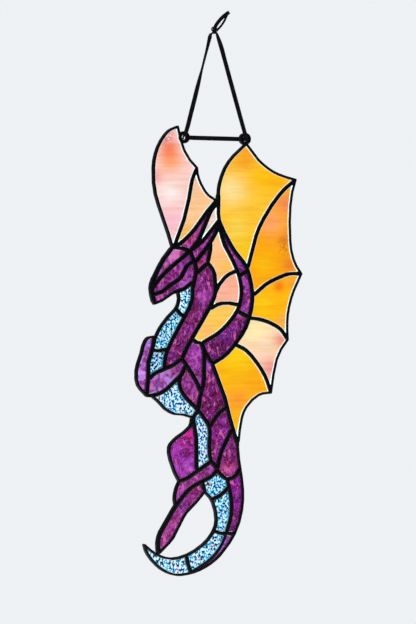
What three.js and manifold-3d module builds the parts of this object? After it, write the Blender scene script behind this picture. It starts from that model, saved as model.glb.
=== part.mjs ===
// A dragon-shaped suncatcher in the manner of stained glass: one black lattice of leads with two
// eyelets, a coloured pane in each of its openings, and the ribbon loop that it hangs by.
// Millimetres, +Z up, the front faces -Y. The origin is the point of the loop that rests on a hook.

import * as THREE from 'three';
import { mergeVertices } from 'three/addons/utils/BufferGeometryUtils.js';
import Module from 'manifold-3d';

const wasm = await Module();
wasm.setup();

// Sizes that can be set one by one
const panelHeight = 292; // from the tail to the tip of the left wing
const frameThickness = 3.2;
const paneThickness = 2.4;
const leadWidth = 2.4; // a lead between two panes
const rimWidth = 1.5; // a lead along the open outline
const browWidth = 2.8; // the heavier outline of the head
const paneClearance = 0.3; // between a pane and the leads around it
const eyeletDiameter = 8;
const eyeletHole = 3.6;
const ribbonWidth = 3;
const ribbonThickness = 0.6;
const ribbonClearance = 0.3; // between the ribbon and the eyelet that it runs through
const ribbonDrop = 68.5; // from the hook down to the middle of the eyelets
const bridgeLength = 4.8; // the ribbon's way over the hook, from leg to leg
const knotSize = { x: 3.4, y: 3.2, z: 4.6 };
const curveTolerance = 0.2; // how far a facet may stray from its curve

// The pattern is drawn on squared paper: x counts squares to the right and y squares down.
// A square is a little wider than it is tall.
const pattern = { top: 126.6, bottom: 574.6, middle: 214.2, eyelets: 138, squareRatio: 1.113 };
const squareHeight = panelHeight / (pattern.bottom - pattern.top);
const squareWidth = squareHeight * pattern.squareRatio;

// Points where several leads meet
const leftWingTip = [177.3, 127.6];
const leftWingNotch = [196.3, 168.2];
const leftWingRoot = [172.3, 247.6];
const rightWingTop = [246, 143];
const wingPoints = [[296, 178], [301.9, 273.2], [287.9, 339.9], [270.8, 393.4]];
const hornJoint = [218, 201.5];
const armTop = [218.6, 220];
const crown = [189.5, 251.3];
const hand = [211.8, 363.8];
const handBack = [201, 343.3];
const wristBack = [181.5, 358.6];
const hip = [197.7, 410.3];
const knee = [179, 480.6];
const heel = [175.3, 505.2];
const loopTop = [204.3, 491.5];
const tailTip = [144.7, 542.6];
const leftEyelet = [183.6, 138];
const rightEyelet = [244.9, 138];

// Each lead is a smooth curve through its points
const lead = (...points) => ({ points, width: leadWidth });
const rim = (...points) => ({ points, width: rimWidth });
const brow = (...points) => ({ points, width: browWidth });

const leftWingLeads = [
  rim(leftWingTip, [168.3, 132.3], [159.5, 145], [154.7, 160], [153.7, 176], [155.3, 193], [162, 215.5],
    [169, 236], leftWingRoot),
  rim(leftWingTip, [178.7, 135], [183.3, 150], [188.9, 160], leftWingNotch),
  rim(leftWingNotch, [197.2, 175.5], [200.9, 185.3], [207.3, 194.8], [217, 201.3]),
  lead(leftWingNotch, [191.6, 180.5], [188.2, 200], [183.2, 221], [173.8, 247]),
];

const rightWingLeads = [
  rim(rightWingTop, [234.3, 154.3], [225.5, 166.5], [219.3, 184], [217.9, 199]),
  rim(rightWingTop, [251.5, 150.6], [259.7, 160.3], [272.6, 170], [284, 174.7], wingPoints[0]),
  rim(wingPoints[0], [292.6, 190.5], [290.4, 209], [290.2, 230], [291.7, 250], [296.1, 264], wingPoints[1]),
  rim(wingPoints[1], [295.8, 286.3], [291, 300], [288.1, 314], [287.4, 328], wingPoints[2]),
  rim(wingPoints[2], [281, 350], [276.7, 360], [273.6, 374], wingPoints[3]),
  rim(wingPoints[3], [260, 394.9], [250, 402.4], [243, 413], [239.6, 428], [238, 442]),
  lead(wingPoints[0], [282.6, 190], [268, 210], [257.7, 230], [251.8, 250], [247.3, 268]),
  lead(wingPoints[1], [290, 273.4], [280, 276.8], [266, 284], [253, 295.2]),
  lead(wingPoints[2], [281, 329.7], [270, 322.8], [260, 319.4], [249.5, 318]),
  lead(wingPoints[3], [265, 376.8], [255, 360.9], [245, 350], [235, 344.8]),
];

const armLeads = [
  lead([218.6, 226], [223.5, 244], [232.2, 260.5], [238.5, 276], [240.9, 291], [238.3, 307], [230, 320.6],
    [217.5, 333.2], handBack),
  lead([218.1, 194], [217.6, 208], armTop, [224, 233], [233.7, 250], [246, 266.5], [250.6, 282],
    [252.3, 297], [250.3, 313], [244.8, 329], [236, 342.6], [225, 355.3], hand),
  lead([238, 276], [247.2, 270.5]),
  lead([236.5, 310.8], [249.5, 318]),
  lead(handBack, [205.8, 354.5], hand),
  lead([236.5, 270.5], [226.5, 275.5], [219, 284], [214.6, 293]),
  lead([209.5, 309], [218.5, 304], [228, 303], [239, 305]),
];

const headLeads = [
  lead(leftWingRoot, [167.6, 254], [163.4, 259.8], [158.6, 268.5], [154, 278.5], [151.5, 288]),
  brow([154.6, 276.5], [151.6, 286.5], [151.8, 292], [153, 298], [154.2, 303.2]),
  rim([154.4, 303.8], [162, 300.7], [168, 296.3], [173, 293.1], [179, 290.7]),
  lead([173, 292.8], [184, 288.8], [192.3, 282]),
  lead([151.8, 289.5], [160, 278.3], [170, 267.8], [180, 259.8], crown),
  lead([153, 295], [161.5, 292], [170, 285.3], [180.5, 277.6], [186, 266.8], [193.3, 260.5]),
  lead(leftWingRoot, [182, 248.6], crown),
];

const hornLeads = [
  lead([174.3, 248], [184.2, 240], [193.5, 230], [203.7, 215.3], [213.3, 203], [217.2, 198.6]),
  lead(crown, [198.3, 240], [204.7, 225], [210.8, 210.5], hornJoint),
  lead(crown, [201.5, 241.7], [209, 232], armTop),
  lead([194.3, 263], [200.5, 255], [207, 246.6], [211.8, 239.3], [215.5, 232.5], [218.6, 223]),
  lead([210.2, 242.5], [209.9, 250], [207.4, 262.6]),
  lead([207.4, 262.6], [202, 268.3], [195.3, 274.5]),
];

const neckLeads = [
  lead(crown, [192.3, 257.5], [195.6, 268], [194.5, 278.5], [192.1, 288], [191.8, 298], [189.5, 306],
    [184.5, 316], [177, 330], [170.5, 342.5], [165.5, 354.5], [163.6, 368]),
  lead([207.4, 262.6], [213.2, 271.5], [214.9, 282], [214.2, 296], [207.8, 310], [199.4, 325],
    [191.5, 338.5], [185, 350.5], wristBack),
  rim([177.8, 291.5], [178.8, 299], [176.3, 307.7], [167.5, 317.5], [160, 328], [154.9, 338.5]),
  lead([175.9, 308.9], [180, 314.2], [184, 316.6]),
  lead([152, 349.8], [158.5, 350.6], [167.3, 348.7]),
  lead([191.5, 338.5], [196, 342.2], handBack),
];

const clawLeads = [
  rim([154.9, 336.3], [147.8, 337.8], [144, 344], [141.8, 353], [138.2, 364], [136.7, 374], [138.4, 384.5],
    [147, 395]),
  lead([154.9, 337.5], [151.8, 351], [148.5, 362.5], [148.4, 376], [146.9, 394]),
  lead([148.4, 379], [155, 372.6], [164, 368.8], [173, 364.6], wristBack),
  lead([147, 395], [157, 393.7], [166, 389], [174, 381.3], [181.5, 373.8], [184.8, 365.5]),
  lead(wristBack, [187.3, 367], [192, 375], [197, 383.5], [200.2, 391.5]),
];

const bodyLeads = [
  lead(handBack, [203.4, 352], [203.7, 365], [203, 383], [199.5, 397], hip),
  lead([180.3, 375], [178.8, 383], [181.7, 392.5], [188.5, 401], hip),
  lead(hand, [218.3, 382], [225, 400], [229, 417], [234.3, 435], [237.5, 446]),
  rim([152.5, 395.6], [158.3, 400.8], [165.8, 408.9], [174, 413.3], [183, 414.2], [191.8, 417]),
  lead(hip, [193, 417], [193.6, 425], [195.6, 436], [195.9, 450], [196.2, 470]),
  rim([191.8, 417.3], [190.2, 425.3], [184, 431.7], [175.5, 437.8], [169.3, 445.3], [169, 453.5],
    [172.2, 465], [175.3, 473.5], knee),
  lead(hip, [203.3, 418], [208.3, 426], [209.3, 433], [208.5, 445], [209.3, 457], [210.5, 462]),
  lead([208.9, 427.5], [214.3, 419], [219.5, 412.3], [226.5, 407.3]),
  lead([231.8, 429], [227.2, 438.7], [221.5, 450.3], [218.3, 461.5], [216.8, 470.5]),
];

const legLeads = [
  lead(knee, [187, 477.4], [196, 471.4], [204, 465.8], [210.5, 461.8], [214.3, 466], [216.8, 470.5]),
  lead([216.8, 470.5], [220.3, 475.2], [226.5, 479.3], [234, 477.4], [239.8, 468.5]),
  rim(knee, [176, 487.6], [174.3, 497.5], heel),
  lead([158.3, 551], [157.9, 541], [160.6, 530.5], [167, 520], heel, [181.5, 497], [190.5, 487.3],
    [201.5, 481.7], [210.5, 476.7], [216.8, 470.5]),
  rim(loopTop, [196, 501.5], [185.5, 512.5], [179, 524.5], [172.5, 537], [158.8, 551.5]),
  lead([201.8, 481.7], [203.3, 488], loopTop),
];

const tailLeads = [
  rim(loopTop, [211, 499.3], [215.3, 512], [215.6, 525], [209, 538], [197, 548.7], [183, 555.5],
    [170, 557.2], [158, 553.3], [151.5, 548.8], tailTip),
  rim([236.9, 443], [238.4, 460], [241.4, 480], [242.6, 495], [241.6, 510], [238.9, 522.5],
    [233.3, 536.3], [226.2, 547.3], [218.3, 556.8], [208.5, 564.6], [198, 570], [188, 572.8],
    [176, 573.5], [163, 568.3], [152.5, 558.5], [146.4, 549], tailTip),
  lead([210.9, 499.3], [218, 496.8], [223.7, 492.2], [228.2, 487]),
  lead([226.5, 479.5], [229.4, 492], [231, 507], [229.7, 520], [225, 536]),
  rim([228.1, 527], [224.4, 537.5], [219.9, 547], [213, 556], [205, 562.8], [190, 572]),
  lead([213.6, 531], [217.5, 532.9], [221.5, 534], [227, 534.2]),
  lead([226, 534.3], [234.2, 534.4]),
  lead([186, 555.2], [187, 561.5], [190.3, 571.9]),
];

const leads = [leftWingLeads, rightWingLeads, armLeads, headLeads, hornLeads, neckLeads, clawLeads,
  bodyLeads, legLeads, tailLeads].flat();

// Every pane by its name, with a point inside it and its glass
const glass = {
  peach: { color: 0xf0b884, roughness: 0.12 },
  pink: { color: 0xf0b4b0, roughness: 0.12 },
  yellow: { color: 0xe8b848, roughness: 0.12 },
  orange: { color: 0xe89048, roughness: 0.12 },
  purple: { color: 0x9a4a98, roughness: 0.2 },
  lilac: { color: 0xb890dc, roughness: 0.2 },
  aqua: { color: 0x8cdce8, roughness: 0.25 },
};

const panes = [
  { name: 'left_wing_outer', inside: [168, 180], glass: glass.pink },
  { name: 'left_wing_inner', inside: [195, 208], glass: glass.peach },
  { name: 'horn_gap', inside: [212, 217], glass: glass.pink },
  { name: 'right_wing_top', inside: [240, 195], glass: glass.yellow },
  { name: 'right_wing_upper', inside: [276, 240], glass: glass.orange },
  { name: 'right_wing_middle', inside: [272, 300], glass: glass.orange },
  { name: 'right_wing_lower', inside: [265, 345], glass: glass.pink },
  { name: 'right_wing_bottom', inside: [240, 375], glass: glass.yellow },
  { name: 'elbow_gap_top', inside: [220, 262], glass: glass.peach },
  { name: 'elbow_gap_middle', inside: [230, 290], glass: glass.pink },
  { name: 'elbow_gap_bottom', inside: [218, 318], glass: glass.yellow },
  { name: 'upper_arm', inside: [238, 264], glass: glass.lilac },
  { name: 'elbow', inside: [246, 292], glass: glass.purple },
  { name: 'forearm', inside: [228, 335], glass: glass.purple },
  { name: 'brow', inside: [172, 257], glass: glass.lilac },
  { name: 'cheek', inside: [176, 272], glass: glass.purple },
  { name: 'jaw', inside: [185, 281], glass: glass.purple },
  { name: 'horn_front', inside: [193, 238], glass: glass.purple },
  { name: 'horn_middle', inside: [201, 247], glass: glass.purple },
  { name: 'horn_back', inside: [202, 260], glass: glass.purple },
  { name: 'neck', inside: [200, 300], glass: glass.purple },
  { name: 'throat', inside: [184, 300], glass: glass.aqua },
  { name: 'chest', inside: [166, 333], glass: glass.aqua },
  { name: 'chest_lower', inside: [156, 360], glass: glass.aqua },
  { name: 'belly', inside: [172, 400], glass: glass.aqua },
  { name: 'claw_outer', inside: [142, 372], glass: glass.lilac },
  { name: 'claw_inner', inside: [162, 381], glass: glass.lilac },
  { name: 'shoulder', inside: [195, 360], glass: glass.purple },
  { name: 'flank', inside: [189, 386], glass: glass.purple },
  { name: 'back', inside: [212, 395], glass: glass.purple },
  { name: 'hip', inside: [218, 432], glass: glass.purple },
  { name: 'rump', inside: [229, 462], glass: glass.purple },
  { name: 'underside', inside: [202, 445], glass: glass.aqua },
  { name: 'thigh', inside: [182, 452], glass: glass.purple },
  { name: 'shin', inside: [192, 480], glass: glass.lilac },
  { name: 'foot', inside: [172, 522], glass: glass.purple },
  { name: 'tail_root', inside: [214, 486], glass: glass.aqua },
  { name: 'tail_upper', inside: [222, 512], glass: glass.aqua },
  { name: 'tail_middle', inside: [203, 553], glass: glass.aqua },
  { name: 'tail_end', inside: [172, 564], glass: glass.aqua },
  { name: 'tail_back', inside: [236, 504], glass: glass.purple },
  { name: 'tail_back_lower', inside: [226, 543], glass: glass.lilac },
];

// A point of the pattern in the panel's plane, measured from the middle of the eyelets
function place([x, y]) {
  return new THREE.Vector2((x - pattern.middle) * squareWidth, (pattern.eyelets - y) * squareHeight);
}

// The points of a line that are needed to stay within the tolerance of all of them
function thin(points) {
  const line = new THREE.Line3(points[0], points[points.length - 1]);
  const nearest = new THREE.Vector3();
  const strays = points.map((p) => line.closestPointToPoint(p, true, nearest).distanceTo(p));
  const worst = strays.indexOf(Math.max(...strays));
  if (strays[worst] < curveTolerance) {
    return [points[0], points[points.length - 1]];
  }
  return [...thin(points.slice(0, worst + 1)).slice(0, -1), ...thin(points.slice(worst))];
}

// A smooth line through flat points, as few straight steps as the tolerance allows
function smoothLine(points) {
  const curve = new THREE.CatmullRomCurve3(points.map((p) => new THREE.Vector3(p.x, p.y, 0)));
  const stepsPerPoint = 12;
  return thin(curve.getPoints(stepsPerPoint * points.length)).map((p) => new THREE.Vector2(p.x, p.y));
}

// A line with one more point just inside each of its ends
function withShoulders(line, reach) {
  const inward = (end, next) => end.clone().lerp(next, Math.min(reach / end.distanceTo(next), 0.9));
  const last = line.length - 1;
  const first = inward(line[0], line[1]);
  return [line[0], first, ...line.slice(1, last), inward(line[last], line[last - 1]), line[last]];
}

// The outline of a line drawn with a round pen, one side and then the other. The pen's ends can be
// narrower, so that a wide line that ends on a narrow one doesn't stand out behind it.
function penOutline(line, width, endWidth = width) {
  const capSteps = 4;
  const path = endWidth < width ? withShoulders(line, width / 2) : line;
  const last = path.length - 1;
  const radius = (i) => (i === 0 || i === last ? endWidth : width) / 2;
  const ahead = (i) => path[Math.min(i + 1, last)].clone().sub(path[Math.max(i - 1, 0)]).angle();
  const around = (i, angle) =>
    new THREE.Vector2(Math.cos(angle), Math.sin(angle)).multiplyScalar(radius(i)).add(path[i]);
  const side = (turn) => path.map((_, i) => around(i, ahead(i) + turn));
  const cap = (i, start) =>
    Array.from({ length: capSteps - 1 }, (_, k) => around(i, start + (Math.PI * (k + 1)) / capSteps));
  return [
    ...side(-Math.PI / 2),
    ...cap(last, ahead(last) - Math.PI / 2),
    ...side(Math.PI / 2).reverse(),
    ...cap(0, ahead(0) + Math.PI / 2),
  ];
}

// A flat outline as a plate in the XZ plane, its thickness centred on y
function plate(outline, thickness, y = 0) {
  const shape = new THREE.Shape(outline);
  const geometry = new THREE.ExtrudeGeometry(shape, { depth: thickness, bevelEnabled: false });
  geometry.rotateX(Math.PI / 2);
  geometry.translate(0, y + thickness / 2, 0);
  return geometry;
}

// A round rod along Y
function rod(centre, diameter, length, sides) {
  const geometry = new THREE.CylinderGeometry(diameter / 2, diameter / 2, length, sides);
  geometry.translate(centre.x, 0, centre.y);
  return geometry;
}

// Between a geometry and a solid that can be joined and cut
function toSolid(geometry) {
  geometry.deleteAttribute('normal');
  geometry.deleteAttribute('uv');
  const merged = mergeVertices(geometry);
  const vertProperties = new Float32Array(merged.attributes.position.array);
  const triVerts = new Uint32Array(merged.index.array);
  return new wasm.Manifold(new wasm.Mesh({ numProp: 3, vertProperties, triVerts }));
}

function toGeometry(solid) {
  const { numProp, vertProperties, triVerts } = solid.getMesh();
  const geometry = new THREE.BufferGeometry();
  geometry.setAttribute('position', new THREE.BufferAttribute(vertProperties, numProp));
  geometry.setIndex([...triVerts]);
  geometry.computeVertexNormals();
  return geometry;
}

const join = (solids) => solids.reduce((whole, solid) => whole.add(solid));

// All the leads and the two eyelets, each wider by an allowance on both sides
function lattice(thickness, allowance) {
  const eyeletSides = 20;
  const strokes = leads.map(({ points, width }) => {
    const line = smoothLine(points.map(place));
    const endWidth = Math.min(width, rimWidth);
    return toSolid(plate(penOutline(line, width + 2 * allowance, endWidth + 2 * allowance), thickness));
  });
  const eyelets = [leftEyelet, rightEyelet].map((centre) =>
    toSolid(rod(place(centre), eyeletDiameter + 2 * allowance, thickness, eyeletSides)));
  return join([...strokes, ...eyelets]);
}

function makeFrame() {
  const through = 2 * frameThickness;
  const holeSides = 12;
  const holes = [leftEyelet, rightEyelet].map((centre) =>
    toSolid(rod(place(centre), eyeletHole, through, holeSides)));
  return holes.reduce((frame, hole) => frame.subtract(hole), lattice(frameThickness, 0));
}

// Whether a part has material behind a point of the pattern
function covers(geometry, point) {
  const { x, y } = place(point);
  const probe = new THREE.Mesh(geometry, new THREE.MeshBasicMaterial());
  const ray = new THREE.Raycaster(new THREE.Vector3(x, -frameThickness, y), new THREE.Vector3(0, 1, 0));
  return ray.intersectObject(probe).length > 0;
}

// The panes are what the leads leave of one plate, each found again by the point inside it
function makePanes() {
  const drawn = new THREE.Box2().setFromPoints(leads.flatMap(({ points }) => points.map(place)));
  drawn.expandByScalar(eyeletDiameter);
  const size = drawn.getSize(new THREE.Vector2());
  const middle = drawn.getCenter(new THREE.Vector2());
  const sheet = new THREE.BoxGeometry(size.x, paneThickness, size.y);
  sheet.translate(middle.x, 0, middle.y);
  const pieces = toSolid(sheet).subtract(lattice(frameThickness, paneClearance)).decompose().map(toGeometry);
  return panes.map((pane) => ({ ...pane, geometry: pieces.find((piece) => covers(piece, pane.inside)) }));
}

// The ribbon: over the hook, down a leg in front to each eyelet, through it, and across behind
function makeRibbon() {
  const layer = frameThickness / 2 + ribbonClearance + ribbonThickness;
  const bridgeEnd = bridgeLength / 2;
  const passSides = 8;
  const knotHeight = ribbonThickness + 0.35 * knotSize.z;
  const tail = [[1, 3.6], [4.4, 8.4], [7, 11.4], [10.6, 14]].map(([x, y]) => new THREE.Vector2(x, y));
  const drop = new THREE.Vector2(0, -ribbonDrop);
  const eyelets = [leftEyelet, rightEyelet].map((centre) => place(centre).add(drop));
  const strip = (line, y = 0) => plate(penOutline(line, ribbonWidth), ribbonThickness, y);

  const legs = eyelets.map((eyelet) => {
    const top = new THREE.Vector2(Math.sign(eyelet.x) * bridgeEnd, 0);
    const leg = strip([top, eyelet]);
    leg.rotateX(-Math.atan2(layer, ribbonDrop));
    return leg;
  });
  const passes = eyelets.map((eyelet) => rod(eyelet, ribbonWidth, 2 * layer, passSides));
  const bridge = new THREE.BoxGeometry(bridgeLength + ribbonWidth / 2, ribbonWidth, ribbonThickness);
  bridge.translate(0, 0, ribbonThickness / 2);
  const knot = new THREE.SphereGeometry(0.5, 10, 6);
  knot.scale(knotSize.x, knotSize.y, knotSize.z);
  knot.translate(0, 0, knotHeight);
  const pieces = [...legs, ...passes, strip(eyelets, layer), bridge, knot, strip(smoothLine(tail))];
  return join(pieces.map(toSolid));
}

function addPart(parent, name, geometry, look) {
  const mesh = new THREE.Mesh(geometry, new THREE.MeshStandardMaterial({ metalness: 0, ...look }));
  mesh.name = name;
  parent.add(mesh);
}

const suncatcher = new THREE.Group();
const panel = new THREE.Group();
panel.position.z = -ribbonDrop;
suncatcher.add(panel);

addPart(panel, 'frame', toGeometry(makeFrame()), { color: 0x0b0b0d, roughness: 0.25 });
for (const { name, geometry, glass: look } of makePanes()) {
  addPart(panel, `pane_${name}`, geometry, look);
}
addPart(suncatcher, 'ribbon', toGeometry(makeRibbon()), { color: 0x101012, roughness: 0.7 });

export default suncatcher;
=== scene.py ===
import math

import bpy
import numpy as np
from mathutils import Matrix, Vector
from mathutils.geometry import delaunay_2d_cdt


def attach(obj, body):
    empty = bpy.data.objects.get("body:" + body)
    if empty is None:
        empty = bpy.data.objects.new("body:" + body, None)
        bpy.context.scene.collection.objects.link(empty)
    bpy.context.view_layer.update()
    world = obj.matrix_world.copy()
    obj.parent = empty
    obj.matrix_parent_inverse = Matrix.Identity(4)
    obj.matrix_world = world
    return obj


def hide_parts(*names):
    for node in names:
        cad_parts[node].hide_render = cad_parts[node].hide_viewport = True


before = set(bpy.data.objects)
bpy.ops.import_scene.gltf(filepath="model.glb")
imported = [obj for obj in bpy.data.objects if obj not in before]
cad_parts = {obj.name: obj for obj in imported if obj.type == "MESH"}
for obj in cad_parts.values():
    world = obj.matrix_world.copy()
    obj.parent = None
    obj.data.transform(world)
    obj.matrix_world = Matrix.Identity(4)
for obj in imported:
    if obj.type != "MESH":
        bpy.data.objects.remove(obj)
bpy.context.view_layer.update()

mm = 0.001

# The figure is laid out on squared paper, as its pattern was: x squares to the right, y squares down
paper = {"middle": 214.2, "eyelets": 138.0, "drop": 68.5 * mm,
         "squareWidth": 0.72545 * mm, "squareHeight": 0.65179 * mm}


def place(x, y):
    # a square of the pattern as a point (x, z) of the panel's middle plane, in metres
    return ((x - paper["middle"]) * paper["squareWidth"],
            -paper["drop"] - (y - paper["eyelets"]) * paper["squareHeight"])


def tint(code):
    # a colour written as six hex digits, as the linear values that a shader takes, by the sRGB curve:
    # c / 12.92 for the darkest, and else (c + 0.055) / 1.055 to the power of 2.4
    parts = np.array([int(code[i:i + 2], 16) / 255 for i in (0, 2, 4)])
    return np.where(parts <= 0.04045, parts / 12.92, ((parts + 0.055) / 1.055) ** 2.4)


# Camera
view = {"yaw": 26.0, "distance": 2.0, "aim": (208.0, 312.0), "pictureRows": 624,
        "sensor": 24.0, "farthest": 20.0}


def makeCamera():
    # looks at the aim, level with it, from the left of the front by the yaw; the lens gives each row of
    # the picture one square of the pattern: lens = sensor x distance / height of the picture at the aim
    yaw = math.radians(view["yaw"])
    aimX, aimZ = place(*view["aim"])
    data = bpy.data.cameras.new("camera")
    data.sensor_fit = "VERTICAL"
    data.sensor_height = view["sensor"]
    data.lens = view["sensor"] * view["distance"] / (view["pictureRows"] * paper["squareHeight"])
    data.clip_end = view["farthest"]
    camera = bpy.data.objects.new("camera", data)
    camera.location = (aimX - view["distance"] * math.sin(yaw), -view["distance"] * math.cos(yaw), aimZ)
    camera.rotation_euler = (math.pi / 2, 0, -yaw)
    bpy.context.collection.objects.link(camera)
    bpy.context.scene.camera = camera


makeCamera()
bpy.context.scene.view_settings.view_transform = "Standard"
print("camera is in place")


# Shared mesh helpers
def addMesh(name, points, faces, materials=(), materialIndex=None):
    mesh = bpy.data.meshes.new(name)
    mesh.from_pydata(points.tolist(), [], faces)
    mesh.polygons.foreach_set("use_smooth", np.full(len(mesh.polygons), True))
    for material in materials:
        mesh.materials.append(material)
    if materialIndex is not None:
        mesh.polygons.foreach_set("material_index", materialIndex)
    mesh.update()
    piece = bpy.data.objects.new(name, mesh)
    bpy.context.collection.objects.link(piece)
    return piece


def throughPoints(controls, steps):
    # a Catmull-Rom curve through rows of numbers: each span is the cubic whose slopes at its ends are
    # half the step between the neighbours on either side
    rows = np.asarray(controls, float)
    rows = np.vstack([2 * rows[0] - rows[1], rows, 2 * rows[-1] - rows[-2]])
    t = np.linspace(0, 1, steps, endpoint=False)[:, None]
    a, b, c, d = (rows[i:len(rows) - 3 + i][:, None] for i in range(4))
    curve = 0.5 * (2 * b + (c - a) * t + (2 * a - 5 * b + 4 * c - d) * t**2
                   + (3 * b - a - 3 * c + d) * t**3)
    return np.vstack([curve.reshape(-1, rows.shape[1]), rows[-2]])


def unit(vectors):
    # the same directions, each divided by its length
    return vectors / np.maximum(np.linalg.norm(vectors, axis=-1, keepdims=True), 1e-12)


# the section of every ribbon: its points, and the exponent that squares it off
band = {"columns": 12, "exponent": 4}


def bandAlong(path, across, width, thickness):
    # a flat band: at each point of the path, a rounded rectangle whose long side lies along "across",
    # made square to the path; its section is the superellipse |u|^exponent + |v|^exponent = 1
    along = unit(np.gradient(path, axis=0))
    side = unit(across - (across * along).sum(1, keepdims=True) * along)
    face = np.cross(along, side)
    turn = np.linspace(0, 2 * np.pi, band["columns"], endpoint=False) + np.pi / band["columns"]
    u = np.sign(np.cos(turn)) * np.abs(np.cos(turn)) ** (2 / band["exponent"])
    v = np.sign(np.sin(turn)) * np.abs(np.sin(turn)) ** (2 / band["exponent"])
    grid = path[:, None] + side[:, None] * u[None, :, None] * width[:, None, None] / 2 \
        + face[:, None] * v[None, :, None] * thickness[:, None, None] / 2
    rows, columns = grid.shape[:2]
    i, j = np.meshgrid(np.arange(rows - 1), np.arange(columns), indexing="ij")
    k = (j + 1) % columns
    quads = np.stack([i * columns + j, i * columns + k, (i + 1) * columns + k, (i + 1) * columns + j], -1)
    faces = quads.reshape(-1, 4).tolist()
    faces += [list(range(columns))[::-1], list(range((rows - 1) * columns, rows * columns))]
    return grid.reshape(-1, 3), faces


# Shader helpers
def newMaterial(name, **values):
    # an underscore in a value's name stands for the space in the name of the shader's socket
    material = bpy.data.materials.new(name)
    material.use_nodes = True
    shader = material.node_tree.nodes["Principled BSDF"]
    for socket, value in values.items():
        shader.inputs[socket.replace("_", " ")].default_value = value
    return material, material.node_tree.nodes, material.node_tree.links, shader


def colour(code):
    return (*tint(code), 1.0)


def joinAll(links, pairs):
    for source, socket in pairs:
        links.new(source, socket)


def socketsOf(group, inputs, outputs):
    for name, kind, value in inputs:
        made = group.interface.new_socket(name=name, in_out="INPUT", socket_type=kind)
        made.default_value = value
    for name, kind in outputs:
        group.interface.new_socket(name=name, in_out="OUTPUT", socket_type=kind)


def makeMottleGroup():
    # soft patches: mask = (noise - low) / (high - low), held between 0 and 1, for the noise at
    # scale x (Object coordinates x stretch + offset)
    group = bpy.data.node_groups.new("mottle", "ShaderNodeTree")
    socketsOf(group, [("Scale", "NodeSocketFloat", 300.0), ("Detail", "NodeSocketFloat", 2.0),
                      ("Stretch", "NodeSocketVector", (1, 1, 1)), ("Offset", "NodeSocketVector", (0, 0, 0)),
                      ("Distortion", "NodeSocketFloat", 0.0), ("Low", "NodeSocketFloat", 0.4),
                      ("High", "NodeSocketFloat", 0.6)],
              [("Mask", "NodeSocketFloat")])
    nodes = group.nodes
    entry, leave = nodes.new("NodeGroupInput"), nodes.new("NodeGroupOutput")
    coordinates = nodes.new("ShaderNodeTexCoord")
    stretch = nodes.new("ShaderNodeVectorMath")
    stretch.operation = "MULTIPLY_ADD"
    noise = nodes.new("ShaderNodeTexNoise")
    spread = nodes.new("ShaderNodeMapRange")
    joinAll(group.links, [
        (coordinates.outputs["Object"], stretch.inputs[0]), (entry.outputs["Stretch"], stretch.inputs[1]),
        (entry.outputs["Offset"], stretch.inputs[2]), (stretch.outputs[0], noise.inputs["Vector"]),
        (noise.outputs["Fac"], spread.inputs["Value"]), (entry.outputs["Low"], spread.inputs["From Min"]),
        (entry.outputs["High"], spread.inputs["From Max"]), (spread.outputs["Result"], leave.inputs["Mask"]),
    ])
    for name in ("Scale", "Detail", "Distortion"):
        group.links.new(entry.outputs[name], noise.inputs[name])
    return group


mottleGroup = makeMottleGroup()


def addMottle(nodes, scale, low, high, detail=2.0, stretch=(1, 1, 1), offset=(0, 0, 0), distortion=0.0):
    node = nodes.new("ShaderNodeGroup")
    node.node_tree = mottleGroup
    for name, value in (("Scale", scale), ("Detail", detail), ("Stretch", stretch), ("Offset", offset),
                        ("Distortion", distortion), ("Low", low), ("High", high)):
        node.inputs[name].default_value = value
    return node.outputs["Mask"]


def addRange(nodes, links, value, low, high):
    # low where the value is 0, high where it is 1
    spread = nodes.new("ShaderNodeMapRange")
    spread.inputs["To Min"].default_value = low
    spread.inputs["To Max"].default_value = high
    links.new(value, spread.inputs["Value"])
    return spread.outputs["Result"]


def mixColour(nodes, links, mask, first, second, blend="MIX"):
    mix = nodes.new("ShaderNodeMix")
    mix.data_type = "RGBA"
    mix.blend_type = blend
    for source, socket in ((mask, mix.inputs[0]), (first, mix.inputs[6]), (second, mix.inputs[7])):
        if isinstance(source, bpy.types.NodeSocket):
            links.new(source, socket)
        else:
            socket.default_value = source
    return mix.outputs[2]


def addBump(nodes, links, height, strength, distance):
    bump = nodes.new("ShaderNodeBump")
    bump.inputs["Strength"].default_value = strength
    bump.inputs["Distance"].default_value = distance
    links.new(height, bump.inputs["Height"])
    return bump.outputs["Normal"]


# The ribbon; the places behind, before and hook are in mm, like the stops of its route
ribbon = {
    "width": 3.0 * mm, "thickness": 0.34 * mm, "spanSteps": 8, "behind": 2.1, "before": -2.1, "hook": 0.35,
    "dark": "0a090b", "pale": "18171a",
    "shade": {"scale": 900, "low": 0.35, "high": 0.7, "stretch": (1, 1, 0.4)},
    "weaveScale": 412.698, "weaveBump": (0.25, 0.05 * mm), "uvAround": 6.0 * mm,
}


def makeRibbonMaterial():
    # black satin, a little mottled, with fine ribs across its length
    material, nodes, links, shader = newMaterial(
        "ribbonSatin", Roughness=0.6, Sheen_Weight=0.05, Sheen_Roughness=0.4, Specular_IOR_Level=0.12)
    coordinates = nodes.new("ShaderNodeTexCoord")
    weave = nodes.new("ShaderNodeTexWave")
    weave.wave_type = "BANDS"
    weave.bands_direction = "X"
    weave.inputs["Scale"].default_value = ribbon["weaveScale"]
    links.new(coordinates.outputs["UV"], weave.inputs["Vector"])
    shade = addMottle(nodes, **ribbon["shade"])
    base = mixColour(nodes, links, shade, colour(ribbon["dark"]), colour(ribbon["pale"]))
    links.new(base, shader.inputs["Base Color"])
    links.new(addBump(nodes, links, weave.outputs["Fac"], *ribbon["weaveBump"]), shader.inputs["Normal"])
    return material


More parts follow.
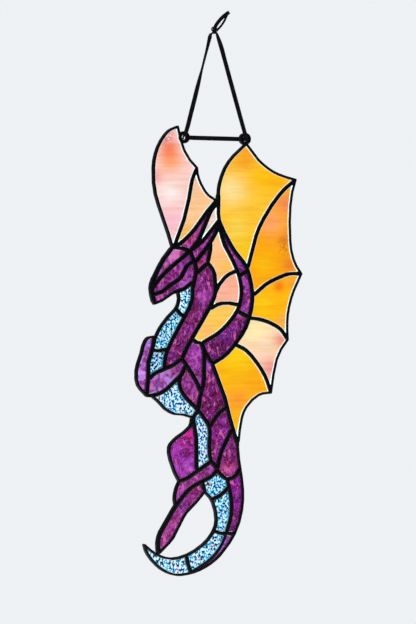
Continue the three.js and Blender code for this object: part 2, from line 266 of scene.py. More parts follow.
def makeRibbon():
    # the loop starts behind the left eyelet and comes forward through it, climbs to the hook, runs over
    # it and down to the right eyelet, and goes through that and back across behind the panel
    left, right = place(183.6, 138), place(244.9, 138)
    behind, before, hook = ribbon["behind"], ribbon["before"], ribbon["hook"]
    leftX, rightX, low = left[0] / mm, right[0] / mm, left[1] / mm
    stops = [  # in mm: x, y, z, then the way the width lies, then the width itself
        (leftX + 1.2, behind, low + 0.1, 0, 0.1, 1, 2.6), (leftX, 1.2, low, 0.3, 0.2, 1, 2.5),
        (leftX - 0.1, -1.0, low + 0.2, 0.8, 0, 0.6, 2.6),
        (leftX + 0.15, before, low + 1.6, 1, 0, 0.1, 2.9),
        (leftX + 2.0, before, low + 7.0, 1, -0.1, 0, 3.0), (leftX + 3.4, -1.9, low + 11.7, 1, -0.2, 0, 3.0),
        (leftX + 7.2, -1.5, low + 24.8, 1, -0.2, 0, 3.0), (leftX + 10.0, -1.2, low + 34.6, 1, 0.1, 0, 3.0),
        (leftX + 12.8, -0.9, low + 44.3, 1, 0.7, 0, 3.0), (leftX + 14.7, -0.7, low + 50.9, 1, 0.7, 0, 3.0),
        (leftX + 17.0, -0.4, low + 58.7, 1, 0.5, 0, 3.0), (leftX + 18.8, -0.1, low + 65.2, 1, 0, 0, 2.8),
        (-2.9, 0, -1.7, 0.8, -1, 0.2, 2.7), (-2.2, 0, -0.1, 0.5, -1, 0.5, 2.7),
        (-0.3, 0, hook, 0, -1, 0.6, 2.8),
        (1.7, 0, -0.1, -0.3, -1, 0.5, 2.6), (2.4, 0, -1.7, 0.4, -1, 0.2, 2.6),
        (rightX - 17.2, -0.3, low + 59.3, 1, -0.4, 0, 3.0),
        (rightX - 14.8, -0.6, low + 50.9, 1, -0.1, 0, 3.0),
        (rightX - 9.1, -1.2, low + 31.3, 1, -0.2, 0, 3.0), (rightX - 3.4, -1.9, low + 11.7, 1, -0.1, 0, 3.0),
        (rightX - 1.5, before, low + 5.5, 1, 0, 0, 3.0), (rightX - 0.2, before, low + 1.5, 1, 0, -0.1, 2.9),
        (rightX + 0.1, -0.9, low + 0.1, 0.8, 0, -0.6, 2.6), (rightX, 1.1, low - 0.1, 0.2, 0.2, -1, 2.5),
        (rightX - 1.5, behind, low, 0, 0.1, -1, 2.8), (rightX - 6.0, behind + 0.15, low, 0, 0, -1, 3.0),
        (rightX - 20.0, behind + 0.15, low, 0, 0.1, -1, 3.0),
        (rightX - 34.0, behind + 0.25, low, 0, 0, -1, 3.0),
        (leftX + 3.0, behind + 0.35, low + 0.1, 0, 0.1, -1, 2.9),
    ]
    route = throughPoints(stops, ribbon["spanSteps"])
    path = route[:, :3] * mm
    thickness = np.full(len(path), ribbon["thickness"])
    points, faces = bandAlong(path, route[:, 3:6], route[:, 6] * mm, thickness)
    loop = addMesh("ribbonLoop", points, faces, materials=[ribbonMaterial])
    addLengthUv(loop, path)
    length = float(np.linalg.norm(np.diff(path, axis=0), axis=1).sum())
    return loop, path, length


def addLengthUv(piece, path):
    # U is the distance along the path and V the place round the section, both in metres
    distance = np.concatenate([[0], np.cumsum(np.linalg.norm(np.diff(path, axis=0), axis=1))])
    mesh = piece.data
    corner = np.empty(len(mesh.loops), np.int32)
    mesh.loops.foreach_get("vertex_index", corner)
    row, column = corner // band["columns"], corner % band["columns"]
    uv = np.stack([distance[row], column / band["columns"] * ribbon["uvAround"]], 1)
    mesh.uv_layers.new(name="UVMap").data.foreach_set("uv", uv.ravel().astype(np.float32))


# sizes in mm; each loose end has its width, then its stops from the knot to the tip, written as above
knotForm = {
    "steps": 120, "centre": (0, 0, 2.1), "reach": (0.62, -0.75, 0.7), "width": 2.1, "thickness": 0.6,
    "ends": [
        (2.5, [(-0.2, -0.35, 2.6, 0.8, 0, -0.6), (1.5, -0.35, 5.7, 0.8, -0.1, -0.6),
               (4.4, -0.3, 9.2, 0.75, -0.1, -0.66), (7.6, -0.25, 12.0, 0.7, -0.1, -0.7),
               (10.8, -0.25, 14.2, 0.62, -0.1, -0.78)]),
        (1.5, [(1.2, 0.3, 1.2, 0.8, 0.1, -0.6), (2.7, 0.3, 2.5, 0.75, 0, -0.66),
               (5.4, 0.3, 5.3, 0.75, 0, -0.66), (7.7, 0.3, 8.6, 0.8, 0, -0.6),
               (8.8, 0.3, 11.0, 0.8, -0.1, -0.6), (10.0, 0.3, 13.0, 0.62, -0.1, -0.78)]),
    ],
    "endThickness": 0.34,
}


def makeKnot():
    # an overhand knot pulled tight, and the two loose ends above it; the knot is a band on the trefoil
    # x = sin t + 2 sin 2t, y = sin 3t, z = cos t - 2 cos 2t, each times its reach
    turn = np.linspace(0, 2 * np.pi, knotForm["steps"])
    centre = np.array(knotForm["centre"]) * mm
    reachX, reachY, reachZ = knotForm["reach"]
    knotPath = centre + np.stack([reachX * (np.sin(turn) + 2 * np.sin(2 * turn)), reachY * np.sin(3 * turn),
                                  reachZ * (np.cos(turn) - 2 * np.cos(2 * turn))], 1) * mm
    across = np.cross(unit(np.gradient(knotPath, axis=0)), unit(knotPath - centre))
    pieces = [(knotPath, across, knotForm["width"], knotForm["thickness"])]
    for width, stops in knotForm["ends"]:
        route = throughPoints(stops, ribbon["spanSteps"])
        pieces.append((route[:, :3] * mm, route[:, 3:6], width, knotForm["endThickness"]))
    allPoints, allFaces, start = [], [], 0
    for path, across, width, thickness in pieces:
        widths, thicknesses = np.full(len(path), width * mm), np.full(len(path), thickness * mm)
        points, faces = bandAlong(path, across, widths, thicknesses)
        allPoints.append(points)
        allFaces += [[start + i for i in face] for face in faces]
        start += len(points)
    knot = addMesh("ribbonKnot", np.vstack(allPoints), allFaces, materials=[ribbonMaterial])
    addLengthUv(knot, np.vstack([piece[0] for piece in pieces]))
    return knot


ribbonMaterial = makeRibbonMaterial()
ribbonLoop, ribbonPath, ribbonLength = makeRibbon()
ribbonKnot = makeKnot()
for piece in (ribbonLoop, ribbonKnot):
    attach(piece, "root")
    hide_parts("ribbon")
print(f"ribbon loop is {ribbonLength / mm:.0f} mm long")


# Flat plates from the outlines of the CAD nodes. The corner is in degrees. Two segments count as parallel
# where the area between them is smaller than stated, and rayTests is the most that one batch holds
plate = {
    "grid": 0.002 * mm, "faceDepth": 0.01 * mm, "corner": 38.0, "cornerHold": 0.12, "rounds": 6,
    "pull": 0.5, "pushBack": -0.51, "longestKnot": 40, "parallel": 1e-18, "weld": 1e-4 * mm,
    "rayTests": 4000000, "capTolerance": 1e-7, "arcPoints": 4,
}


def frontOutlines(node):
    # the closed lines around the front face of a node, as arrays of (x, z), material on the left hand
    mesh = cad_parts[node].data
    points = np.empty(len(mesh.vertices) * 3)
    mesh.vertices.foreach_get("co", points)
    points = points.reshape(-1, 3)
    mesh.calc_loop_triangles()
    corners = np.empty(len(mesh.loop_triangles) * 3, np.int32)
    mesh.loop_triangles.foreach_get("vertices", corners)
    keys, merged = np.unique(np.round(points / plate["grid"]).astype(np.int64), axis=0, return_inverse=True)
    triangles = merged.ravel()[corners.reshape(-1, 3)]
    places = keys * plate["grid"]
    onFront = (np.abs(places[triangles][:, :, 1] - places[:, 1].min()) < plate["faceDepth"]).all(1)
    triangles = triangles[onFront]
    edges = np.vstack([triangles[:, [0, 1]], triangles[:, [1, 2]], triangles[:, [2, 0]]])
    edges = edges[edges[:, 0] != edges[:, 1]]
    inside = {(b, a) for a, b in edges.tolist()}
    following = {a: b for a, b in edges.tolist() if (a, b) not in inside}
    loops = []
    while following:
        start = next(iter(following))
        loop, at = [start], following.pop(start)
        while at != start and at in following:
            loop.append(at)
            at = following.pop(at)
        loops.append(places[loop][:, [0, 2]])
    return loops


def smoothOutline(loop, spacing):
    # evenly spaced points round the line; points between the corners move to the middle of their
    # neighbours and a little further back again, which takes out the facets and keeps the size
    step = np.roll(loop, -1, 0) - loop
    heading = np.arctan2(step[:, 1], step[:, 0])
    turning = np.abs((heading - np.roll(heading, 1) + np.pi) % (2 * np.pi) - np.pi)
    counts = np.maximum(np.ceil(np.linalg.norm(step, axis=1) / spacing).astype(int), 1)
    owner, several = np.repeat(np.arange(len(loop)), counts), np.repeat(counts, counts)
    share = (np.arange(counts.sum()) - np.repeat(np.cumsum(counts) - counts, counts)) / several
    line = loop[owner] + step[owner] * share[:, None]
    sharp = (share == 0) & (turning[owner] > np.radians(plate["corner"]))
    free = np.where(sharp, plate["cornerHold"], 1.0)[:, None]
    for pull in [plate["pull"], plate["pushBack"]] * plate["rounds"]:
        middle = (np.roll(line, 1, 0) + np.roll(line, -1, 0)) / 2
        line = line + free * pull * (middle - line)
    return line


def inwards(loop):
    # the unit vector from each point of the line into the material, which lies on the left
    along = unit(np.roll(loop, -1, 0) - np.roll(loop, 1, 0))
    return np.stack([-along[:, 1], along[:, 0]], 1)


def untangle(flat):
    # where a line carried inwards crosses itself at a sharp tip, the few points of the small knot that
    # it makes there all move to the crossing: a + (b - a) * t for t = (c - a) x (d - c) / (b - a) x (d - c)
    flat, count = flat.copy(), len(flat)
    for reach in range(2, plate["longestKnot"]):
        a, b = flat, np.roll(flat, -1, 0)
        c, d = np.roll(flat, -reach, 0), np.roll(flat, -reach - 1, 0)
        spread = np.cross(b - a, d - c)
        safe = np.where(np.abs(spread) < plate["parallel"], np.inf, spread)
        t, u = np.cross(c - a, d - c) / safe, np.cross(c - a, b - a) / safe
        crossed = (t > 0) & (t < 1) & (u > 0) & (u < 1) & (np.abs(spread) >= plate["parallel"])
        meeting = a + (b - a) * t[:, None]
        for i in np.nonzero(crossed)[0]:
            flat[(i + 1 + np.arange(reach)) % count] = meeting[i]
    return flat


def weld(points, quads, triangles, quadParts, triangleParts):
    # points at the same place become one, a quad with two corners alike becomes a triangle, faces with
    # fewer than three corners go, and so do points that no face uses
    keys = np.round(points / plate["weld"]).astype(np.int64)
    first, same = np.unique(keys, axis=0, return_index=True, return_inverse=True)[1:]
    one = first[same.ravel()]
    quads, triangles = one[quads], one[triangles]
    fresh = quads != np.roll(quads, 1, 1)
    whole, narrow = fresh.all(1), fresh.sum(1) == 3
    triangles = np.vstack([triangles, quads[narrow][fresh[narrow]].reshape(-1, 3)])
    parts = np.concatenate([triangleParts, quadParts[narrow]])
    solid = (triangles != np.roll(triangles, 1, 1)).all(1)
    triangles, parts, quads = triangles[solid], parts[solid], quads[whole]
    used, compact = np.unique(np.concatenate([quads.ravel(), triangles.ravel()]), return_inverse=True)
    compact = compact.ravel()
    faces = compact[:quads.size].reshape(-1, 4).tolist() + compact[quads.size:].reshape(-1, 3).tolist()
    return points[used], faces, np.concatenate([quadParts[whole], parts]).astype(np.int32)


def holds(loops, points):
    # whether each point lies within an odd number of the lines, by the crossings of a ray to the right
    inside = np.zeros(len(points), bool)
    for loop in loops:
        a, b = loop, np.roll(loop, -1, 0)
        batches = max(1, len(points) * len(loop) // plate["rayTests"])
        for part in np.array_split(np.arange(len(points)), batches):
            x, y = points[part, 0][:, None], points[part, 1][:, None]
            spans = (a[:, 1] > y) != (b[:, 1] > y)
            rise = np.where(b[:, 1] == a[:, 1], 1, b[:, 1] - a[:, 1])
            crossing = a[:, 0] + (y - a[:, 1]) / rise * (b[:, 0] - a[:, 0])
            inside[part] ^= ((spans & (crossing > x)).sum(1) % 2).astype(bool)
    return inside


def makePlate(name, loops, profile, materials, fills=None):
    # a plate: each line is carried along the profile, rows of (distance in from the edge, y, part), and
    # both ends are closed by triangles, which also pass through the fill points (x, z) at their heights
    rings, faces, parts, start = [], [], [], 0
    ends = {0: [], len(profile) - 1: []}
    for loop in loops:
        inward, count = inwards(loop), len(loop)
        for inset, y, _ in profile:
            flat = untangle(loop + inward * inset)
            rings.append(np.stack([flat[:, 0], np.full(count, y), flat[:, 1]], 1))
        i = np.arange(count)
        k = (i + 1) % count
        for row in range(len(profile) - 1):
            a, b = start + row * count, start + (row + 1) * count
            faces.append(np.stack([a + i, b + i, b + k, a + k], 1))
            parts.append(np.full(count, profile[row + 1][2]))
        for row in ends:
            ends[row].append(start + row * count + i)
        start += count * len(profile)
    points, quads, capFaces = np.vstack(rings), np.vstack(faces), []
    for end, (row, indices) in enumerate(ends.items()):
        ring = np.concatenate(indices)
        extra, lift = fills[end] if fills else (np.zeros((0, 2)), np.zeros(0))
        flat = np.vstack([points[ring][:, [0, 2]], extra])
        lines = np.split(np.arange(len(ring)), np.cumsum([len(p) for p in indices])[:-1])
        edges = np.concatenate([np.stack([line, np.roll(line, -1)], 1) for line in lines])
        inMillimetres = [Vector(p) for p in (flat * 1000).tolist()]
        made = delaunay_2d_cdt(inMillimetres, edges.tolist(), [], 0, plate["capTolerance"], True)
        original = np.array([ids[0] if ids else -1 for ids in made[3]])
        found = original[np.array(made[2])]
        found = found[(found >= 0).all(1)]
        centres = flat[found].mean(1)
        found = found[holds([points[p][:, [0, 2]] for p in indices], centres)]
        corners = flat[found]
        area = np.cross(corners[:, 1] - corners[:, 0], corners[:, 2] - corners[:, 0])
        wanted = 1 if row == 0 else -1
        found = np.where((area * wanted > 0)[:, None], found, found[:, ::-1])
        lookup = np.concatenate([ring, len(points) + np.arange(len(extra))])
        if len(extra):
            points = np.vstack([points, np.stack([extra[:, 0], profile[row][1] + lift, extra[:, 1]], 1)])
        capFaces.append((lookup[found], profile[row][2]))
    triangles = np.vstack([found for found, _ in capFaces])
    capParts = np.concatenate([np.full(len(found), part) for found, part in capFaces])
    points, allFaces, index = weld(points, quads, triangles, np.concatenate(parts), capParts)
    return addMesh(name, points, allFaces, materials=materials, materialIndex=index)


def edgeProfile(half, radius, frontPart, wallPart, backPart):
    # front edge rounded by a quarter circle, the wall, and the back edge rounded the same way
    angle = np.linspace(0, np.pi / 2, plate["arcPoints"])
    front = [(radius * (1 - math.sin(a)), -half + radius * (1 - math.cos(a))) for a in angle]
    rows = [(inset, y, frontPart) for inset, y in front]
    rows += [(inset, -y, wallPart if i == 0 else backPart) for i, (inset, y) in enumerate(front[::-1])]
    return rows


# The frame; each mottle has its scale, its low and high ends and more, as addMottle takes them
frameLook = {
    "half": 1.6 * mm, "edge": 0.22 * mm, "spacing": 0.55 * mm, "fewestCorners": 5,
    "face": {"dark": "08080a", "pale": "100f12", "specular": 0.3, "rough": (0.2, 0.34),
             "bump": (0.15, 0.06 * mm),
             "shade": {"scale": 160, "low": 0.35, "high": 0.7, "detail": 4},
             "rubs": {"scale": 900, "low": 0.45, "high": 0.75, "detail": 5, "stretch": (1, 1, 0.3)},
             "swell": {"scale": 260, "low": 0.2, "high": 0.8}},
    # the walls' blue-grey colours are painted reflection of the pale room on the black acrylic
    "wall": {"dark": "0d0e13", "pale": "161824", "specular": 0.25, "rough": (0.45, 0.6),
             "bump": (0.3, 0.03 * mm),
             "shade": {"scale": 220, "low": 0.3, "high": 0.7, "detail": 3, "stretch": (1, 0.15, 1)},
             "lines": {"scale": 2400, "low": 0.3, "high": 0.7, "stretch": (1, 0.05, 1)}},
}


def makeFrameMaterials():
    # gloss black faces with faint rubs, and cut walls that are rougher and painted a little lighter and bluer
    # than the faces, a painted reflection of the pale room on the black acrylic
    made = []
    for name, look, roughBy, bumpBy in (("leadFaceBlack", frameLook["face"], "rubs", "swell"),
                                        ("leadWallCutPaintedReflection", frameLook["wall"], "lines", "lines")):
        material, nodes, links, shader = newMaterial(name, IOR=1.49, Specular_IOR_Level=look["specular"])
        shade = addMottle(nodes, **look["shade"])
        base = mixColour(nodes, links, shade, colour(look["dark"]), colour(look["pale"]))
        rough = addRange(nodes, links, addMottle(nodes, **look[roughBy]), *look["rough"])
        normal = addBump(nodes, links, addMottle(nodes, **look[bumpBy]), *look["bump"])
        joinAll(links, [(base, shader.inputs["Base Color"]), (rough, shader.inputs["Roughness"]),
                        (normal, shader.inputs["Normal"])])
        made.append(material)
    return made


def makeFrame():
    outlines = [loop for loop in frontOutlines("frame") if len(loop) >= frameLook["fewestCorners"]]
    loops = [smoothOutline(loop, frameLook["spacing"]) for loop in outlines]
    profile = edgeProfile(frameLook["half"], frameLook["edge"], 0, 1, 0)
    body = makePlate("leadFrame", loops, profile, makeFrameMaterials())
    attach(body, "root")
    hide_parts("frame")
    return body


leadFrame = makeFrame()
print(f"frame has {len(leadFrame.data.polygons)} faces")


# The panes: each kind of glass has its relief, the scale and strength of its front's fine surface, and
# the dark and pale colours and the painted glow of its cut edge, which stand in for the light that the pane
# carries to its edge; then comes what all panes share
glassKinds = {
    "wing": {"relief": 0.02 * mm, "wave": 4.2 * mm, "flatten": (0.35, 1.0), "spacing": 1.3 * mm,
             # cut edges: pale colours and emission are painted glow, standing in for light carried through
             # the pane
             "front": (500, 0.1), "cutEdgePaintedGlow": ("b8ecf2", "f4fcfc", 0.75)},
    "rippled": {"relief": 0.085 * mm, "wave": 2.6 * mm, "flatten": (1.0, 1.0), "spacing": 0.62 * mm,
                "front": (900, 0.2), "cutEdgePaintedGlow": ("5c2a68", "8c4c98", 0.1)},
    "hammered": {"relief": 0.075 * mm, "wave": 1.5 * mm, "flatten": (1.0, 1.0), "spacing": 0.4 * mm,
                 "front": (1500, 0.2), "cutEdgePaintedGlow": ("5898b0", "a8d4e0", 0.2)},
}
paneLook = {
    "half": 1.2 * mm, "edge": 0.12 * mm, "outlineSpacing": 0.6 * mm, "backSpacing": 1.3 * mm,
    "waves": 14, "waveSpread": (0.7, 1.6), "waveSeed": 7, "fade": 1.2 * mm, "washSpread": 0.9,
    "rowPitch": 0.87, "shake": 0.12, "clear": 0.55,
}

# each pane's glass, its own colour, and washes of other colours: (x, y, reach in squares, colour)
paneColours = {
    "left_wing_outer": ("wing", "fbd0cc", [
        (171, 163, 13, "ffae7c"), (170, 151, 10, "fb8254"), (167, 138, 8, "e07a74"),
        (171, 192, 11, "fcecea"), (157, 178, 6, "f6a8a4"), (172, 222, 14, "f8bfce")]),
    "left_wing_inner": ("wing", "fbc896", [(196, 184, 8, "f6c6a4"), (186, 236, 13, "f4bd50")]),
    "horn_gap": ("wing", "f6d2cc", [(206, 230, 6, "e2d0c4")]),
    "right_wing_top": ("wing", "fcc430", [
        (246, 155, 14, "f9a222"), (276, 177, 17, "fdb408"), (231, 190, 15, "fde097"),
        (262, 176, 11, "fec206"), (237, 228, 11, "fbd654"), (247, 250, 13, "f6c71c")]),
    "right_wing_upper": ("wing", "fda804", [
        (272, 222, 13, "fda464"), (287, 203, 10, "f48a54"), (291, 235, 9, "f29038"),
        (291, 264, 8, "ea8220"), (284, 240, 5, "e6861e"), (264, 264, 12, "fdba08")]),
    "right_wing_middle": ("wing", "feb606", [
        (280, 286, 6, "f47606"), (262, 305, 12, "fec80a"), (285, 322, 7, "f6ab50"),
        (293, 283, 6, "f89e28")]),
    "right_wing_lower": ("wing", "fdd8b4", [
        (257, 331, 13, "fdeaa8"), (265, 346, 9, "fde0c4"), (283, 340, 8, "f59a8c"),
        (272, 369, 13, "f09c94")]),
    "right_wing_bottom": ("wing", "fcb90a", [
        (238, 356, 14, "fccf10"), (256, 384, 12, "fca810"), (238, 400, 13, "fb9c2c")]),
    "elbow_gap_top": ("wing", "fcc07e", [(226, 268, 8, "fabb58"), (217, 248, 8, "fcc494")]),
    "elbow_gap_middle": ("wing", "fcb69c", [(234, 284, 8, "fbb096")]),
    "elbow_gap_bottom": ("wing", "fbcb58", [(224, 305, 7, "f8c060"), (208, 331, 8, "fabb66")]),
    "upper_arm": ("rippled", "9440b4", [
        (228, 246, 8, "7c38a4"), (236, 266, 8, "8c46b8"), (242, 270, 5, "5c2058")]),
    "elbow": ("rippled", "88388a", [(246, 282, 7, "8e3c92")]),
    "forearm": ("rippled", "641260", [
        (232, 322, 7, "7c2068"), (222, 334, 7, "8636a6"), (216, 346, 8, "641650"),
        (241, 316, 5, "a84c84")]),
    "brow": ("rippled", "b060aa", [
        (178, 253, 7, "d86eae"), (172, 257, 5, "d67cbc"), (160, 274, 8, "9e5aa2")]),
    "cheek": ("rippled", "94368e", [
        (184, 262, 6, "9c48b0"), (172, 276, 7, "a646a0"), (160, 287, 7, "98469a")]),
    "jaw": ("rippled", "94429a", [
        (184, 281, 5, "b05ebc"), (188, 268, 5, "7a2c66"), (168, 291, 7, "92468c")]),
    "horn_front": ("rippled", "b8509c", [
        (192, 238, 7, "c8548a"), (202, 224, 7, "8a4688"), (186, 245, 5, "be52a6")]),
    "horn_middle": ("rippled", "b048ac", [(206, 238, 6, "82207c"), (199, 249, 5, "ac44a6")]),
    "horn_back": ("rippled", "b44c8c", [(202, 261, 5, "aa487e"), (205, 254, 6, "863672")]),
    "neck": ("rippled", "862c78", [
        (207, 274, 8, "7a2260"), (202, 292, 8, "963ca0"), (200, 312, 9, "742262"), (190, 324, 8, "842e70"),
        (178, 344, 8, "5e0e48"), (172, 357, 6, "8c3a9c")]),
    "throat": ("hammered", "f4ffff", []),
    "chest": ("hammered", "c8eef4", []),
    "chest_lower": ("hammered", "c8e2ec", []),
    "belly": ("hammered", "e8f0f6", []),
    "claw_outer": ("rippled", "b888dc", [
        (148, 344, 7, "b084de"), (141, 372, 9, "cc9ef4"), (143, 387, 6, "9a6cbc")]),
    "claw_inner": ("rippled", "b286d6", [(152, 388, 7, "ba94de"), (175, 369, 8, "9e4a90")]),
    "shoulder": ("rippled", "b452bc", [(192, 348, 7, "ae58c0"), (200, 372, 8, "6c2868")]),
    "flank": ("rippled", "963c88", [(182, 376, 7, "944a7c"), (188, 386, 7, "a046a8")]),
    "back": ("rippled", "781a68", [
        (208, 366, 8, "9444a8"), (210, 386, 8, "741c5c"), (222, 404, 10, "5c1048"),
        (206, 400, 8, "82246e")]),
    "hip": ("rippled", "861c84", [
        (214, 424, 7, "8e1e7a"), (222, 418, 7, "903494"), (214, 452, 8, "842c78")]),
    "rump": ("rippled", "902070", [
        (230, 452, 8, "7a2878"), (228, 471, 8, "c04c84"), (230, 440, 6, "722e7a")]),
    "underside": ("hammered", "e6eef8", []),
    "thigh": ("rippled", "a030a8", [
        (188, 433, 8, "d2148a"), (184, 443, 6, "9a1a74"), (188, 466, 8, "a044b4")]),
    "shin": ("rippled", "ac48ac", [(204, 470, 8, "a44a9c")]),
    "foot": ("rippled", "ac4298", [
        (194, 492, 7, "8a2672"), (184, 505, 7, "80328a"), (164, 538, 8, "bc52a6")]),
    "tail_root": ("hammered", "ccf0fa", []),
    "tail_upper": ("hammered", "c8f4fa", []),
    "tail_middle": ("hammered", "dcf4fa", []),
    "tail_end": ("hammered", "e4f8f8", []),
    "tail_back": ("rippled", "841088", [(232, 520, 7, "7a226c"), (234, 531, 6, "6c2078")]),
    "tail_back_lower": ("rippled", "b074d8", [(228, 538, 6, "b47cd4"), (217, 554, 8, "9468c0")]),
}


def washColours(points, base, washes):
    # the pane's own colour, with each wash laid over it by the bell curve
    # exp(-distance^2 / (spread x reach^2)) of the distance in squares from the wash's middle
    colours = np.tile(tint(base), (len(points), 1))
    for x, y, reach, code in washes:
        centreX, centreZ = place(x, y)
        away = ((points[:, 0] - centreX) / paper["squareWidth"]) ** 2 \
            + ((points[:, 2] - centreZ) / paper["squareHeight"]) ** 2
        cover = np.exp(-away / (paneLook["washSpread"] * reach**2))[:, None]
        colours = colours * (1 - cover) + tint(code) * cover
    return colours


def waves(points, length, flatten, seed, count):
    # plane waves in random directions, near one length: the sum of sin(2 pi x distance / length + phase)
    # over the root of their number, mostly between -1 and 1
    chance = np.random.default_rng(seed)
    angle, phase = chance.uniform(0, 2 * np.pi, count), chance.uniform(0, 2 * np.pi, count)
    size = 2 * np.pi / (length * chance.uniform(*paneLook["waveSpread"], count))
    swing = points[:, 0][:, None] * np.cos(angle) * size * flatten[0] \
        + points[:, 1][:, None] * np.sin(angle) * size * flatten[1]
    return np.sin(swing + phase).sum(1) / math.sqrt(count)


def distanceTo(loop, points):
    # from each point to the nearest point of the outline
    return np.sqrt(((points[:, None] - loop[None]) ** 2).sum(-1)).min(1)


def fillPoints(loop, spacing, seed):
    # a grid over the pane in staggered rows, a little shaken, kept clear of the outline
    low, high = loop.min(0), loop.max(0)
    x, z = np.meshgrid(np.arange(low[0], high[0], spacing),
                       np.arange(low[1], high[1], spacing * paneLook["rowPitch"]))
    x = x + (np.arange(x.shape[0]) % 2)[:, None] * spacing / 2
    grid = np.stack([x.ravel(), z.ravel()], 1)
    shake = paneLook["shake"]
    grid += np.random.default_rng(seed).uniform(-shake, shake, grid.shape) * spacing
    grid = grid[holds([loop], grid)]
    return grid[distanceTo(loop, grid) > spacing * paneLook["clear"]]


def makePane(name, order, materials):
    kindName, base, washes = paneColours[name]
    kind = glassKinds[kindName]
    loops = frontOutlines("pane_" + name)
    loop = smoothOutline(max(loops, key=len), paneLook["outlineSpacing"])
    profile = edgeProfile(paneLook["half"], paneLook["edge"], 0, 2, 1)
    inner = loop + inwards(loop) * paneLook["edge"]
    front, back = fillPoints(inner, kind["spacing"], order), fillPoints(inner, paneLook["backSpacing"], order)
    fade = np.clip(distanceTo(loop, front) / paneLook["fade"], 0, 1)
    ripple = waves(front, kind["wave"], kind["flatten"], paneLook["waveSeed"], paneLook["waves"])
    fills = [(front, kind["relief"] * fade * ripple), (back, np.zeros(len(back)))]
    pane = makePlate("glass_" + name, [loop], profile, materials[kindName], fills)
    mesh = pane.data
    points = np.empty(len(mesh.vertices) * 3)
    mesh.vertices.foreach_get("co", points)
    washed = np.ones((len(mesh.vertices), 4), np.float32)
    washed[:, :3] = washColours(points.reshape(-1, 3), base, washes)
    mesh.color_attributes.new("wash", "FLOAT_COLOR", "POINT").data.foreach_set("color", washed.ravel())
    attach(pane, "root")
    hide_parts("pane_" + name)
    return pane


def readWash(nodes):
    wash = nodes.new("ShaderNodeVertexColor")
    wash.layer_name = "wash"
    return wash.outputs["Color"]


# what the three printed films have in common, with a painted glow of strength 0.25 in each film's colour
film = {"IOR": 1.49, "Transmission_Weight": 1.0, "Emission_Strength": 0.25}


def makeClearFront(name, scale, strength):
    # the moulded front of the sheet: clear, with a fine surface over its modelled relief
    material, nodes, links, shader = newMaterial(
        name, Base_Color=(1, 1, 1, 1), Roughness=0.03, IOR=1.49, Transmission_Weight=1.0)
    height = addMottle(nodes, scale, 0.2, 0.8)
    links.new(addBump(nodes, links, height, strength, 0.1 * mm), shader.inputs["Normal"])
    return material


def makeCutEdge(name, low, high, glow):
    # the cut edge of the sheet, painted with light: pale colours that also glow, standing in for the light
    # that the pane gathers inside and carries to its edge
    material, nodes, links, shader = newMaterial(name, Roughness=0.35, IOR=1.49, Emission_Strength=glow)
    shade = addMottle(nodes, 300, 0.3, 0.7)
    pale = mixColour(nodes, links, shade, colour(low), colour(high))
    links.new(pale, shader.inputs["Base Color"])
    links.new(pale, shader.inputs["Emission Color"])
    return material


def multiply(nodes, links, first, second):
    return mixColour(nodes, links, 1.0, first, second, "MULTIPLY")


def finishFilmWithPaintedGlow(nodes, links, shader, base):
    # glass tints light by the square root of its colour, so the colour that is wanted goes in squared;
    # the film is also given a painted glow in that colour, which makes the pane brighter as if lit more
    # strongly from behind
    links.new(multiply(nodes, links, base, base), shader.inputs["Base Color"])
    # painted glow: the film emits its own colour
    links.new(base, shader.inputs["Emission Color"])


wingLook = {
    "streaks": {"scale": 460, "low": 0.3, "high": 0.6, "detail": 3, "stretch": (0.1, 1, 1)},
    "streak": "f6ecdc",
    "specks": {"scale": 1300, "low": 0.5, "high": 0.62, "detail": 1}, "core": 0.4, "shift": 900,
    "spots": [((169, 136), 6.5 * mm, "fcdcd2"), ((286, 246), 8 * mm, "c07020")],
}


def addSpecks(nodes, links, base, at, reach, code):
    # fine specks near one place: noise x a share that is 0 at the reach and 1 within the core
    x, z = place(*at)
    coordinates, apart = nodes.new("ShaderNodeTexCoord"), nodes.new("ShaderNodeVectorMath")
    near, both = nodes.new("ShaderNodeMapRange"), nodes.new("ShaderNodeMath")
    apart.operation, both.operation = "DISTANCE", "MULTIPLY"
    apart.inputs[1].default_value = (x, 0, z)
    near.inputs["From Min"].default_value = reach
    near.inputs["From Max"].default_value = reach * wingLook["core"]
    grain = addMottle(nodes, offset=(reach * wingLook["shift"], 2, 5), **wingLook["specks"])
    joinAll(links, [(coordinates.outputs["Object"], apart.inputs[0]),
                    (apart.outputs["Value"], near.inputs["Value"]),
                    (near.outputs["Result"], both.inputs[0]), (grain, both.inputs[1])])
    return mixColour(nodes, links, both.outputs[0], base, colour(code))


def makeWingFilm():
    # soft streaks that lie level across the wings, and specks near two places
    material, nodes, links, shader = newMaterial("wingFilm", Roughness=0.1, **film)
    streaks = addMottle(nodes, **wingLook["streaks"])
    dimmed = multiply(nodes, links, readWash(nodes), colour(wingLook["streak"]))
    streaked = mixColour(nodes, links, streaks, dimmed, readWash(nodes))
    for at, reach, code in wingLook["spots"]:
        streaked = addSpecks(nodes, links, streaked, at, reach, code)
    finishFilmWithPaintedGlow(nodes, links, shader, streaked)
    return material


rippledLook = {
    "plum": "b06a98", "violet": "bc50d4", "rose": "d060a8", "veinEdges": (0.42, 0.5, 0.58),
    "patches": {"scale": 170, "low": 0.4, "high": 0.58, "detail": 1.5, "distortion": 1.1},
    "veins": {"scale": 280, "low": 0.3, "high": 0.7, "detail": 1, "offset": (3, 1, 2),
              "stretch": (1, 1, 0.6), "distortion": 1.2},
    "breaks": {"scale": 190, "low": 0.4, "high": 0.58, "offset": (5, 8, 3)},
    "glints": {"scale": 580, "low": 0.6, "high": 0.77, "detail": 0.5, "offset": (7, 5, 1),
               "stretch": (1, 1, 0.5), "distortion": 0.8},
}


